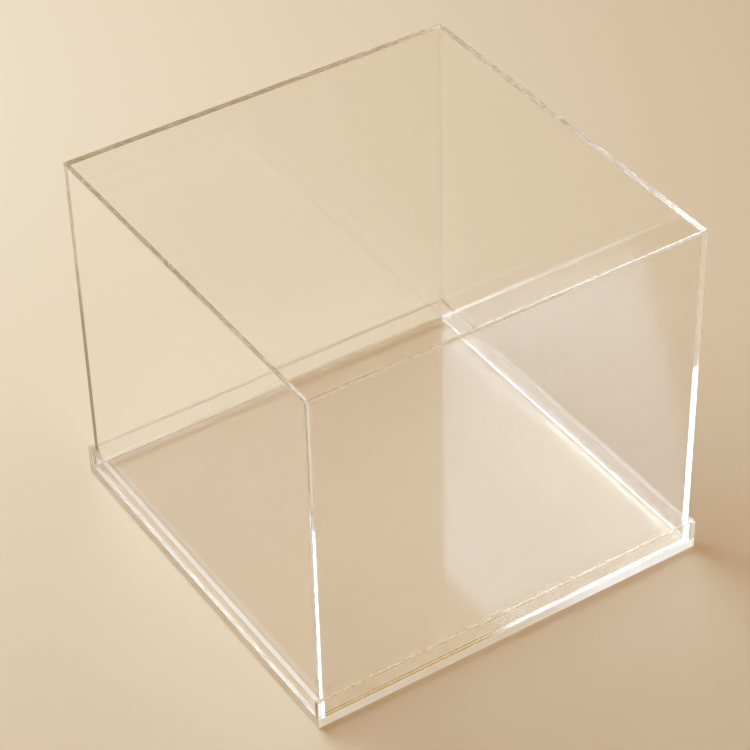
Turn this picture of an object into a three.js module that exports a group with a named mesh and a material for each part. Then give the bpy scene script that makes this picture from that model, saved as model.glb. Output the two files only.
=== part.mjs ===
// Clear acrylic cake box: a shallow square tray with a five-sided lift-off cover.
// Millimetres, +Z up. The origin is the centre of the tray's underside.
// Front is -Y, back is +Y, left is -X and right is +X.

import * as THREE from "three";

// Driving dimensions
const TRAY_WIDTH = 203;            // outside of the tray along X
const TRAY_DEPTH = 203;            // outside of the tray along Y
const PLATE_THICKNESS = 5;         // base plate
const RIM_HEIGHT = 10;             // rim strips, measured up from the plate
const RIM_SHEET = 2.2;             // sheet that the rim strips are cut from
const COVER_HEIGHT = 173;          // outside of the cover, from its foot to its top face
const WALL_SHEET = 2.2;            // sheet that the cover's four walls are cut from
const TOP_SHEET = 2.2;             // sheet that the cover's top is cut from

// Clearances and finish
const LID_CLEARANCE = 0.25;        // play between the cover's walls and the rim, on each side
const SEAT_GAP = 0.05;             // hairline under the cover's foot, where it stands on the plate
const BOND_LINE = 0.05;            // cement film between two sheets that are glued edge to face
const EDGE_BREAK = 0.25;           // arris taken off every cut edge by the polishing wheel

// Finish of cast acrylic sheet with polished edges
const ACRYLIC_COLOUR = 0xf6f4ee;
const ACRYLIC_ROUGHNESS = 0.04;
const ACRYLIC_OPACITY = 0.25;

// Places that several pieces share
const rimFoot = PLATE_THICKNESS + BOND_LINE;
const rimTop = PLATE_THICKNESS + RIM_HEIGHT;
const coverFoot = PLATE_THICKNESS + SEAT_GAP;
const coverTop = coverFoot + COVER_HEIGHT;
const wallTop = coverTop - TOP_SHEET - BOND_LINE;

const trayHalfX = TRAY_WIDTH / 2;
const trayHalfY = TRAY_DEPTH / 2;
const coverHalfX = trayHalfX - RIM_SHEET - LID_CLEARANCE;
const coverHalfY = trayHalfY - RIM_SHEET - LID_CLEARANCE;

// A rectangle centred on the origin whose four corners are cut off by the edge break.
function sheetOutline(width, height, cut) {
  const x = width / 2;
  const y = height / 2;
  const outline = new THREE.Shape();
  outline.moveTo(-x + cut, -y);
  outline.lineTo(x - cut, -y);
  outline.lineTo(x, -y + cut);
  outline.lineTo(x, y - cut);
  outline.lineTo(x - cut, y);
  outline.lineTo(-x + cut, y);
  outline.lineTo(-x, y - cut);
  outline.lineTo(-x, -y + cut);
  outline.closePath();
  return outline;
}

// A flat sheet of the given width and height, its thickness centred on Z = 0, with every arris broken.
function sheetGeometry(width, height, thickness) {
  const geometry = new THREE.ExtrudeGeometry(sheetOutline(width, height, EDGE_BREAK), {
    depth: thickness - 2 * EDGE_BREAK,
    bevelEnabled: true,
    bevelSegments: 1,
    bevelSize: EDGE_BREAK,
    bevelThickness: EDGE_BREAK,
    bevelOffset: -EDGE_BREAK,
  });
  geometry.translate(0, 0, -thickness / 2 + EDGE_BREAK);
  return geometry;
}

function clearAcrylic() {
  return new THREE.MeshStandardMaterial({
    color: ACRYLIC_COLOUR,
    roughness: ACRYLIC_ROUGHNESS,
    metalness: 0,
    transparent: true,
    opacity: ACRYLIC_OPACITY,
  });
}

function sheetMesh(name, width, height, thickness) {
  const mesh = new THREE.Mesh(sheetGeometry(width, height, thickness), clearAcrylic());
  mesh.name = name;
  return mesh;
}

// A sheet that lies flat: width along X, depth along Y.
function levelSheet(name, width, depth, thickness, underside) {
  const mesh = sheetMesh(name, width, depth, thickness);
  mesh.position.z = underside + thickness / 2;
  return mesh;
}

// An upright sheet that faces along Y: length along X.
function sheetFacingY(name, length, foot, top, thickness, y) {
  const mesh = sheetMesh(name, length, top - foot, thickness);
  mesh.rotation.x = Math.PI / 2;
  mesh.position.set(0, y, (foot + top) / 2);
  return mesh;
}

// An upright sheet that faces along X: length along Y.
function sheetFacingX(name, length, foot, top, thickness, x) {
  const mesh = sheetMesh(name, top - foot, length, thickness);
  mesh.rotation.y = Math.PI / 2;
  mesh.position.set(x, 0, (foot + top) / 2);
  return mesh;
}

// Four upright sheets round a rectangle. The front and back ones run the full width,
// and the left and right ones are glued in between them.
function uprightFrame(prefix, halfX, halfY, foot, top, sheet) {
  const frame = new THREE.Group();
  const sideLength = 2 * (halfY - sheet - BOND_LINE);
  const faceX = halfX - sheet / 2;
  const faceY = halfY - sheet / 2;
  frame.add(sheetFacingY(`${prefix}_front`, 2 * halfX, foot, top, sheet, -faceY));
  frame.add(sheetFacingY(`${prefix}_back`, 2 * halfX, foot, top, sheet, faceY));
  frame.add(sheetFacingX(`${prefix}_left`, sideLength, foot, top, sheet, -faceX));
  frame.add(sheetFacingX(`${prefix}_right`, sideLength, foot, top, sheet, faceX));
  return frame;
}

// Tray: the plate carries a low rim, flush with its edges, that keeps the cover in place.
function buildTray() {
  const tray = new THREE.Group();
  tray.add(levelSheet("base_plate", TRAY_WIDTH, TRAY_DEPTH, PLATE_THICKNESS, 0));
  tray.add(uprightFrame("rim", trayHalfX, trayHalfY, rimFoot, rimTop, RIM_SHEET));
  return tray;
}

// Cover: the top laps over the upper edges of all four walls, so its own edge shows all round.
function buildCover() {
  const cover = new THREE.Group();
  cover.add(levelSheet("top_panel", 2 * coverHalfX, 2 * coverHalfY, TOP_SHEET, coverTop - TOP_SHEET));
  cover.add(uprightFrame("wall", coverHalfX, coverHalfY, coverFoot, wallTop, WALL_SHEET));
  return cover;
}

const cakeBox = new THREE.Group();
cakeBox.name = "cake_box";
cakeBox.add(buildTray());
cakeBox.add(buildCover());

export default cakeBox;
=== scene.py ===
"""Looks of a clear acrylic cake box: a shallow rimmed tray and the bottomless cover that lifts off it.

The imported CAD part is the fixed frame. Each of its ten cut sheets is modelled again here with eased
arrises and a cast acrylic finish, and the box then stands on a pale floor beside a soft window.
"""

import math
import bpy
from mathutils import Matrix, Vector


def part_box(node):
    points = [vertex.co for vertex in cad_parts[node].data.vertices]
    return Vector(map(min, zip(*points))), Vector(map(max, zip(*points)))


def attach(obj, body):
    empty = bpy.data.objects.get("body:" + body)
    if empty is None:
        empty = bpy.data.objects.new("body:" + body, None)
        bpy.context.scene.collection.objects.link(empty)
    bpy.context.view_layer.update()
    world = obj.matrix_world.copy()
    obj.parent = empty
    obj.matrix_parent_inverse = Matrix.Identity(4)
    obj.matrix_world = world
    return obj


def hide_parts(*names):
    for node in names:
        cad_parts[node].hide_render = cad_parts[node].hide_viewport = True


bl_info = {
    "name": "Acrylic Cake Box",
    "version": (1, 0, 0),
    "blender": (4, 5, 0),
    "location": "View3D > Sidebar > Cake Box",
    "description": "Dresses the sheets of a clear acrylic cake box and sets its stage",
    "category": "Add Mesh",
}

import bmesh
import bpy
from mathutils import Matrix, Vector

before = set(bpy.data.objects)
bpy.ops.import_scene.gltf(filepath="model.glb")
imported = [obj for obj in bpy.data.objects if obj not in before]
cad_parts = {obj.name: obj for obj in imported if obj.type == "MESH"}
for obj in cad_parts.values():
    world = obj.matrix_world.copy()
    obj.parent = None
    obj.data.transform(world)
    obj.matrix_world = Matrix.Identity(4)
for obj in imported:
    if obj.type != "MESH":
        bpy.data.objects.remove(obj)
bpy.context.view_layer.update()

MM = 0.001
AXES = "XYZ"
CUT_EDGE = "cut_edge"
JOINT_NAME = "solvent_cemented_joint"
ACRYLIC_IOR = 1.49
SHEETS = {
    "tray": ("base_plate", "rim_front", "rim_back", "rim_left", "rim_right"),
    "cover": ("top_panel", "wall_front", "wall_back", "wall_left", "wall_right"),
}
# The photograph shows the tray's front strip as clear along its edges as the cover, and these duller.
SATIN_EDGED = ("base_plate", "rim_back", "rim_left", "rim_right")
# A little more than the hairline that the CAD model leaves between two cemented sheets.
BOND_REACH = 0.1 * MM
# A face that looks this squarely along the sheet's thickness isn't one of its edges.
SQUARE_ON = 0.999
# Octaves of noise: one gives a smooth swell, and more make it ragged.
SMOOTH, RAGGED, MOTTLED = 1.0, 2.0, 3.0
# Nearly all of a noise pattern lies between these two values.
NOISE_LOW, NOISE_HIGH = 0.3, 0.7
# Turns of a ray between matte surfaces, of which only the floor is one.
FLOOR_BOUNCES = 6
SENSOR_WIDTH = 36.0
CAMERA_REACH = (0.01, 100.0)


def linear(hex_colour):
    """An sRGB hex colour as three linear values, by the formula of the sRGB standard."""
    shares = [int(hex_colour[i : i + 2], 16) / 255 for i in (1, 3, 5)]
    return tuple(s / 12.92 if s <= 0.04045 else ((s + 0.055) / 1.055) ** 2.4 for s in shares)


def add_node(tree, kind, inputs, **settings):
    """Adds a shader node, sets its options, and links or sets its inputs."""
    made = tree.nodes.new("ShaderNode" + kind)
    for name, value in settings.items():
        setattr(made, name, value)
    for key, value in inputs.items():
        if isinstance(value, bpy.types.NodeSocket):
            tree.links.new(value, made.inputs[key])
        else:
            made.inputs[key].default_value = value
    return made


def new_material(name):
    """A material with an empty node tree, and that tree."""
    material = bpy.data.materials.new(name)
    material.use_nodes = True
    material.node_tree.nodes.clear()
    return material, material.node_tree


class AcrylicFinish(bpy.types.PropertyGroup):
    """How the acrylic sheets are cut and polished."""

    arris: bpy.props.FloatProperty(
        name="Arris",
        description="How far the sharp edges of a cut sheet are eased",
        default=0.2 * MM,
        min=0.05 * MM,
        max=1.0 * MM,
        precision=5,
        unit="LENGTH",
    )
    arris_steps: bpy.props.IntProperty(
        name="Arris Steps",
        description="Number of facets across an eased edge",
        default=3,
        min=1,
        max=8,
    )
    wave_length: bpy.props.FloatProperty(
        name="Wave Length",
        description="Distance between the faint swells of a cast sheet",
        default=60 * MM,
        min=5 * MM,
        max=300 * MM,
        unit="LENGTH",
    )
    wave_height: bpy.props.FloatProperty(
        name="Wave Height",
        description="Height of the faint swells of a cast sheet",
        default=0.002 * MM,
        min=0.0,
        max=1.0 * MM,
        precision=6,
        unit="LENGTH",
    )
    mark_spacing: bpy.props.FloatProperty(
        name="Mark Spacing",
        description="Distance between the cutter marks along a polished edge",
        default=0.9 * MM,
        min=0.1 * MM,
        max=10 * MM,
        precision=5,
        unit="LENGTH",
    )
    mark_depth: bpy.props.FloatProperty(
        name="Mark Depth",
        description="Depth of the cutter marks along a polished edge",
        default=0.0003 * MM,
        min=0.0,
        max=0.5 * MM,
        precision=7,
        unit="LENGTH",
    )
    polished_roughness: bpy.props.FloatProperty(
        name="Polished Edges",
        description="Roughness of the polished edges of the cover and of the tray's front strip",
        default=0.12,
        min=0.0,
        max=1.0,
        subtype="FACTOR",
    )
    satin_roughness: bpy.props.FloatProperty(
        name="Satin Edges",
        description="Roughness of the tray's other edges, which are left as they were cut",
        default=0.43,
        min=0.0,
        max=1.0,
        subtype="FACTOR",
    )
    face_roughness: bpy.props.FloatProperty(
        name="Faces",
        description="Roughness of the sheets' faces, which have been wiped and handled",
        default=0.03,
        min=0.0,
        max=1.0,
        subtype="FACTOR",
    )
    smear_length: bpy.props.FloatProperty(
        name="Smear Length",
        description="Width of the smears that wiping has left on the faces",
        default=30 * MM,
        min=2 * MM,
        max=300 * MM,
        unit="LENGTH",
    )
    smear_strength: bpy.props.FloatProperty(
        name="Smear Strength",
        description="How much duller or clearer than the faces at large the smears are",
        default=0.4,
        min=0.0,
        max=1.0,
        subtype="FACTOR",
    )
    tint: bpy.props.FloatVectorProperty(
        name="Tint",
        description="Colour that light takes on as it passes through a sheet",
        default=(1.0, 1.0, 1.0),
        min=0.0,
        max=1.0,
        subtype="COLOR",
    )


class StageSettings(bpy.types.PropertyGroup):
    """Floor, light and camera."""

    floor_colour: bpy.props.FloatVectorProperty(
        name="Floor",
        description="Colour of the paper that the box stands on",
        default=linear("#E9D7BE"),
        min=0.0,
        max=1.0,
        subtype="COLOR",
    )
    window_colour: bpy.props.FloatVectorProperty(
        name="Window",
        description="Colour of the window's light",
        default=linear("#CDE7FF"),
        min=0.0,
        max=1.0,
        subtype="COLOR",
    )
    window_radiance: bpy.props.FloatProperty(
        name="Window Brightness",
        description="How many times brighter than white paper the window looks",
        default=8.0,
        min=0.0,
        max=100.0,
    )
    window_width: bpy.props.FloatProperty(
        name="Window Width",
        description="Width of the window",
        default=0.58,
        min=0.1,
        max=10.0,
        unit="LENGTH",
    )
    window_height: bpy.props.FloatProperty(
        name="Window Height",
        description="Height of the window",
        default=0.73,
        min=0.1,
        max=10.0,
        unit="LENGTH",
    )
    window_distance: bpy.props.FloatProperty(
        name="Window Distance",
        description="Distance from the box to the window",
        default=1.1,
        min=0.3,
        max=20.0,
        unit="LENGTH",
    )
    window_azimuth: bpy.props.FloatProperty(
        name="Window Azimuth",
        description="Direction of the window, counter-clockwise from the box's right side",
        default=math.radians(109.8),
        subtype="ANGLE",
    )
    window_elevation: bpy.props.FloatProperty(
        name="Window Elevation",
        description="Height of the window above the horizon",
        default=math.radians(53.6),
        subtype="ANGLE",
    )
    room_near: bpy.props.FloatVectorProperty(
        name="Room by the Window",
        description="Light of the room on the window's side",
        default=linear("#D3BD89"),
        min=0.0,
        max=1.0,
        subtype="COLOR",
    )
    room_far: bpy.props.FloatVectorProperty(
        name="Room Opposite",
        description="Light of the room on the side opposite the window",
        default=linear("#996C3F"),
        min=0.0,
        max=1.0,
        subtype="COLOR",
    )
    camera_azimuth: bpy.props.FloatProperty(
        name="Camera Azimuth",
        description="Turn of the camera round the box, from its front towards its right side",
        default=math.radians(-32.29),
        subtype="ANGLE",
    )
    camera_elevation: bpy.props.FloatProperty(
        name="Camera Elevation",
        description="Height of the camera above the horizon",
        default=math.radians(39.13),
        subtype="ANGLE",
    )
    camera_roll: bpy.props.FloatProperty(
        name="Camera Roll",
        description="Tilt of the camera about its own line of sight",
        default=math.radians(-1.47),
        subtype="ANGLE",
    )
    camera_distance: bpy.props.FloatProperty(
        name="Camera Distance",
        description="Distance from the camera to the point it looks at",
        default=1207.1 * MM,
        min=0.1,
        unit="LENGTH",
    )
    camera_target: bpy.props.FloatVectorProperty(
        name="Camera Target",
        description="Point that the camera looks at",
        default=(-9.24 * MM, -7.64 * MM, 89.0 * MM),
        subtype="XYZ",
        unit="LENGTH",
    )
    lens: bpy.props.FloatProperty(
        name="Lens",
        description="Focal length on a 36 mm wide sensor",
        default=130.9,
        min=10.0,
        max=500.0,
        unit="CAMERA",
    )
    light_bounces: bpy.props.IntProperty(
        name="Light Bounces",
        description="How often a ray may turn, as light runs a long way inside a clear sheet",
        default=96,
        min=8,
        max=1024,
    )


def cast_acrylic(name, finish, through, edge_roughness):
    """Cast acrylic sheet, sawn to size, with polished or satin edges.

    The faces are as clear as glass, with swells so long and low that only mirrored lines waver, and
    smears that soften those lines a little here and there. The edges are duller and carry fine marks
    across the sheet, left by the cutter: polished ones still glint, satin ones glow an even grey-white.
    through is the axis that runs through the sheet, and the marks lie along it.
    """
    mark_stretch = 20.0
    material, tree = new_material(name)
    place = add_node(tree, "TexCoord", {}).outputs["Object"]
    on_edge = add_node(tree, "Attribute", {}, attribute_name=CUT_EDGE).outputs["Fac"]

    swell = add_node(
        tree, "TexNoise", {"Vector": place, "Scale": 1 / finish.wave_length, "Detail": SMOOTH}
    )
    swollen = add_node(
        tree,
        "Bump",
        {"Strength": 1.0, "Distance": finish.wave_height, "Height": swell.outputs["Fac"]},
    )
    # The marks are drawn about three times coarser than a real polishing cutter leaves them, to show.
    run = [1.0, 1.0, 1.0]
    run[through] = 1 / mark_stretch
    along = add_node(tree, "Mapping", {"Vector": place, "Scale": run}).outputs["Vector"]
    marks = add_node(
        tree, "TexNoise", {"Vector": along, "Scale": 1 / finish.mark_spacing, "Detail": RAGGED}
    )
    edge_marks = add_node(
        tree, "Math", {0: marks.outputs["Fac"], 1: on_edge}, operation="MULTIPLY"
    ).outputs["Value"]
    surface_normal = add_node(
        tree,
        "Bump",
        {
            "Strength": 1.0,
            "Distance": finish.mark_depth,
            "Height": edge_marks,
            "Normal": swollen.outputs["Normal"],
        },
    ).outputs["Normal"]
    wiped = add_node(
        tree, "TexNoise", {"Vector": place, "Scale": 1 / finish.smear_length, "Detail": MOTTLED}
    )
    smears = add_node(
        tree,
        "MapRange",
        {
            "Value": wiped.outputs["Fac"],
            "From Min": NOISE_LOW,
            "From Max": NOISE_HIGH,
            "To Min": (1 - finish.smear_strength) * finish.face_roughness,
            "To Max": (1 + finish.smear_strength) * finish.face_roughness,
        },
    ).outputs["Result"]
    roughness = add_node(
        tree, "Mix", {"Factor": on_edge, "A": smears, "B": edge_roughness}, data_type="FLOAT"
    ).outputs["Result"]

    shader = add_node(
        tree,
        "BsdfPrincipled",
        {
            "Base Color": (*finish.tint, 1.0),
            "Roughness": roughness,
            "IOR": ACRYLIC_IOR,
            "Transmission Weight": 1.0,
            "Normal": surface_normal,
        },
    )
    add_node(tree, "OutputMaterial", {"Surface": shader.outputs["BSDF"]})
    return material


def solvent_joint():
    """Solvent-cemented joint: the two sheets have run together, so light passes straight through.

    Only faint streaks of cured cement take about a hundredth of the light.
    """
    streak = 4.0 * MM
    unbending_ior = 1.0
    material, tree = new_material(JOINT_NAME)
    place = add_node(tree, "TexCoord", {}).outputs["Object"]
    cured = add_node(
        tree, "TexNoise", {"Vector": place, "Scale": 1 / streak, "Detail": RAGGED}
    ).outputs["Fac"]
    haze = add_node(
        tree,
        "Mix",
        {"Factor": cured, "A": (*linear("#FFFFFF"), 1.0), "B": (*linear("#FCFCFC"), 1.0)},
        data_type="RGBA",
    ).outputs["Result"]
    shader = add_node(
        tree,
        "BsdfPrincipled",
        {"Base Color": haze, "Roughness": 0.0, "IOR": unbending_ior, "Transmission Weight": 1.0},
    )
    add_node(tree, "OutputMaterial", {"Surface": shader.outputs["BSDF"]})
    return material


def backdrop_paper(colour):
    """Matte backdrop paper: an even pale sheet whose fibres give it a faint mottle and no shine."""
    fibre = 1.5 * MM
    fibre_shade = 0.97
    matte_roughness = 0.9
    shine_level = 0.2
    material, tree = new_material("matte_backdrop_paper")
    place = add_node(tree, "TexCoord", {}).outputs["Object"]
    mottle = add_node(
        tree, "TexNoise", {"Vector": place, "Scale": 1 / fibre, "Detail": MOTTLED}
    ).outputs["Fac"]
    shade = add_node(
        tree,
        "Mix",
        {"Factor": mottle, "A": (*(fibre_shade * c for c in colour), 1.0), "B": (*colour, 1.0)},
        data_type="RGBA",
    )
    shader = add_node(
        tree,
        "BsdfPrincipled",
        {
            "Base Color": shade.outputs["Result"],
            "Roughness": matte_roughness,
            "Specular IOR Level": shine_level,
        },
    )
    add_node(tree, "OutputMaterial", {"Surface": shader.outputs["BSDF"]})
    return material


def link(name, data):
    """A new object in the scene's own collection."""
    made = bpy.data.objects.new(name, data)
    bpy.context.scene.collection.objects.link(made)
    return made


def is_cemented(point, neighbours):
    """True for a point of a sheet that lies against another sheet of the same body."""
    return any(
        all(low[i] - BOND_REACH <= point[i] <= high[i] + BOND_REACH for i in range(3))
        for low, high in neighbours
    )


def middle(edge):
    """The point halfway along an edge."""
    return (edge.verts[0].co + edge.verts[1].co) / 2


def cut_sheet(name, node, body):
    """One sheet at its CAD node's size and place, riding on body.

    Its open edges are eased, its edges in a joint stay square, and the faces that lie against another
    sheet of the body are marked off; on the cover they are cemented.
    """
    finish = bpy.context.scene.cake_box_acrylic
    low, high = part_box(node)
    size = high - low
    through = min(range(3), key=lambda i: size[i])
    neighbours = [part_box(other) for other in SHEETS[body] if other != node]
    sheet = bmesh.new()
    bmesh.ops.create_cube(sheet, size=1.0)
    bmesh.ops.scale(sheet, vec=size, verts=sheet.verts)
    bmesh.ops.translate(sheet, vec=(low + high) / 2, verts=sheet.verts)
    bmesh.ops.bevel(
        sheet,
        geom=[edge for edge in sheet.edges if not is_cemented(middle(edge), neighbours)],
        offset=finish.arris,
        affect="EDGES",
        segments=finish.arris_steps,
        profile=0.5,
        material=-1,
    )
    for corners in neighbours:
        for corner in corners:
            for axis in range(3):
                if low[axis] < corner[axis] < high[axis]:
                    across = Vector(float(i == axis) for i in range(3))
                    everything = sheet.verts[:] + sheet.edges[:] + sheet.faces[:]
                    bmesh.ops.bisect_plane(sheet, geom=everything, plane_co=corner, plane_no=across)
    sheet.normal_update()
    cut_edge = sheet.faces.layers.float.new(CUT_EDGE)
    for face in sheet.faces:
        face[cut_edge] = float(abs(face.normal[through]) < SQUARE_ON)
        joined = is_cemented(face.calc_center_median(), neighbours)
        face.material_index = int(joined and body == "cover")
    data = bpy.data.meshes.new(name)
    sheet.to_mesh(data)
    sheet.free()
    if node in SATIN_EDGED:
        edges, roughness = "satin", finish.satin_roughness
    else:
        edges, roughness = "polished", finish.polished_roughness
    title = f"cast_acrylic_{edges}_edges_{AXES[through].lower()}"
    data.materials.append(
        bpy.data.materials.get(title) or cast_acrylic(title, finish, through, roughness)
    )
    if body == "cover":
        data.materials.append(bpy.data.materials.get(JOINT_NAME) or solvent_joint())
    piece = link(name, data)
    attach(piece, body)
    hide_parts(node)
    return piece


class CAKE_BOX_OT_base_plate(bpy.types.Operator):
    """Add the thick square plate that the cake stands on"""

    bl_idname = "cake_box.base_plate"
    bl_label = "Base Plate"

    def execute(self, context):
        cut_sheet("base_plate_sheet", "base_plate", "tray")
        return {"FINISHED"}


class CAKE_BOX_OT_rim_strips(bpy.types.Operator):
    """Add the four strips that stand on the plate and locate the cover"""

    bl_idname = "cake_box.rim_strips"
    bl_label = "Rim Strips"

    def execute(self, context):
        for side in ("front", "back", "left", "right"):
            cut_sheet(f"rim_{side}_strip", f"rim_{side}", "tray")
        return {"FINISHED"}


class CAKE_BOX_OT_cover_walls(bpy.types.Operator):
    """Add the four upright walls of the cover"""

    bl_idname = "cake_box.cover_walls"
    bl_label = "Cover Walls"

    def execute(self, context):
        for side in ("front", "back", "left", "right"):
            cut_sheet(f"wall_{side}_sheet", f"wall_{side}", "cover")
        return {"FINISHED"}


class CAKE_BOX_OT_top_panel(bpy.types.Operator):
    """Add the panel that closes the cover's top"""

    bl_idname = "cake_box.top_panel"
    bl_label = "Top Panel"

    def execute(self, context):
        cut_sheet("top_panel_sheet", "top_panel", "cover")
        return {"FINISHED"}


def lay_floor(stage):
    """A wide sheet of paper, a hair below the plate so that the two don't touch."""
    half_width = 6.0
    air_gap = 0.05 * MM
    sheet = bmesh.new()
    bmesh.ops.create_grid(sheet, x_segments=1, y_segments=1, size=half_width)
    bmesh.ops.translate(sheet, vec=(0, 0, -air_gap), verts=sheet.verts)
    data = bpy.data.meshes.new("floor")
    sheet.to_mesh(data)
    sheet.free()
    data.materials.append(backdrop_paper(stage.floor_colour))
    link("floor", data)


def hang_window(stage):
    """One soft light, turned towards the box."""
    lamp = bpy.data.lights.new("window", "AREA")
    lamp.shape = "RECTANGLE"
    lamp.size = stage.window_width
    lamp.size_y = stage.window_height
    lamp.color = stage.window_colour
    lamp.energy = stage.window_radiance * math.pi * stage.window_width * stage.window_height
    flat = math.cos(stage.window_elevation)
    towards = Vector(
        (
            flat * math.cos(stage.window_azimuth),
            flat * math.sin(stage.window_azimuth),
            math.sin(stage.window_elevation),
        )
    )
    window = link("window", lamp)
    window.rotation_mode = "QUATERNION"
    window.rotation_quaternion = towards.to_track_quat("Z", "Y")
    window.location = towards * stage.window_distance


def light_room(stage):
    """Soft light from the room, paler on the window's side and a dim brown opposite."""
    world = bpy.data.worlds.new("room")
    bpy.context.scene.world = world
    world.use_nodes = True
    tree = world.node_tree
    tree.nodes.clear()
    direction = add_node(tree, "TexCoord", {}).outputs["Generated"]
    window_side = (math.cos(stage.window_azimuth), math.sin(stage.window_azimuth), 0.0)
    facing = add_node(
        tree, "VectorMath", {0: direction, 1: window_side}, operation="DOT_PRODUCT"
    ).outputs["Value"]
    share = add_node(
        tree, "MapRange", {"Value": facing, "From Min": -1.0, "From Max": 1.0}
    ).outputs["Result"]
    colour = add_node(
        tree,
        "Mix",
        {"Factor": share, "A": (*stage.room_far, 1.0), "B": (*stage.room_near, 1.0)},
        data_type="RGBA",
    ).outputs["Result"]
    sky = add_node(tree, "Background", {"Color": colour, "Strength": 1.0})
    add_node(tree, "OutputWorld", {"Surface": sky.outputs["Background"]})


def stand_camera(stage):
    """The camera at the photograph's angle, without shift or depth of field."""
    azimuth, elevation = stage.camera_azimuth, stage.camera_elevation
    back = Vector(
        (
            math.sin(azimuth) * math.cos(elevation),
            -math.cos(azimuth) * math.cos(elevation),
            math.sin(elevation),
        )
    )
    right = Vector((0, 0, 1)).cross(back).normalized()
    turned = Matrix((right, back.cross(right), back)).transposed().to_4x4()
    place = Matrix.Translation(Vector(stage.camera_target) + back * stage.camera_distance)
    lens = bpy.data.cameras.new("camera")
    lens.sensor_fit = "HORIZONTAL"
    lens.sensor_width = SENSOR_WIDTH
    lens.lens = stage.lens
    lens.clip_start, lens.clip_end = CAMERA_REACH
    camera = link("camera", lens)
    camera.matrix_world = place @ turned @ Matrix.Rotation(stage.camera_roll, 4, "Z")
    bpy.context.scene.camera = camera


class CAKE_BOX_OT_stage(bpy.types.Operator):
    """Add the floor, the window, the room's light and the camera"""

    bl_idname = "cake_box.stage"
    bl_label = "Stage"

    def execute(self, context):
        scene = context.scene
        stage = scene.cake_box_stage
        lay_floor(stage)
        hang_window(stage)
        light_room(stage)
        stand_camera(stage)
        scene.view_settings.view_transform = "Standard"
        # Light is mirrored dozens of times on its way along a sheet, and each turn counts as glossy.
        scene.cycles.max_bounces = stage.light_bounces
        scene.cycles.glossy_bounces = stage.light_bounces
        scene.cycles.transmission_bounces = stage.light_bounces
        scene.cycles.transparent_max_bounces = stage.light_bounces
        scene.cycles.diffuse_bounces = FLOOR_BOUNCES
        scene.cycles.blur_glossy = 0.0
        return {"FINISHED"}


PARTS = (
    CAKE_BOX_OT_base_plate,
    CAKE_BOX_OT_rim_strips,
    CAKE_BOX_OT_cover_walls,
    CAKE_BOX_OT_top_panel,
    CAKE_BOX_OT_stage,
)


class CAKE_BOX_PT_parts(bpy.types.Panel):
    """Lists the parts of the box, its finish and its stage"""

    bl_label = "Cake Box"
    bl_idname = "CAKE_BOX_PT_parts"
    bl_space_type = "VIEW_3D"
    bl_region_type = "UI"
    bl_category = "Cake Box"

    def draw(self, context):
        layout = self.layout
        for part in PARTS:
            layout.operator(part.bl_idname)
        for settings in (context.scene.cake_box_acrylic, context.scene.cake_box_stage):
            column = layout.column()
            for name in settings.__annotations__:
                column.prop(settings, name)


CLASSES = (AcrylicFinish, StageSettings, *PARTS, CAKE_BOX_PT_parts)


def register():
    for cls in CLASSES:
        bpy.utils.register_class(cls)
    bpy.types.Scene.cake_box_acrylic = bpy.props.PointerProperty(type=AcrylicFinish)
    bpy.types.Scene.cake_box_stage = bpy.props.PointerProperty(type=StageSettings)


def unregister():
    del bpy.types.Scene.cake_box_stage
    del bpy.types.Scene.cake_box_acrylic
    for cls in reversed(CLASSES):
        bpy.utils.unregister_class(cls)


def main():
    register()
    bpy.ops.cake_box.base_plate()
    bpy.ops.cake_box.rim_strips()
    bpy.ops.cake_box.cover_walls()
    bpy.ops.cake_box.top_panel()
    bpy.ops.cake_box.stage()


if __name__ == "__main__":
    main()
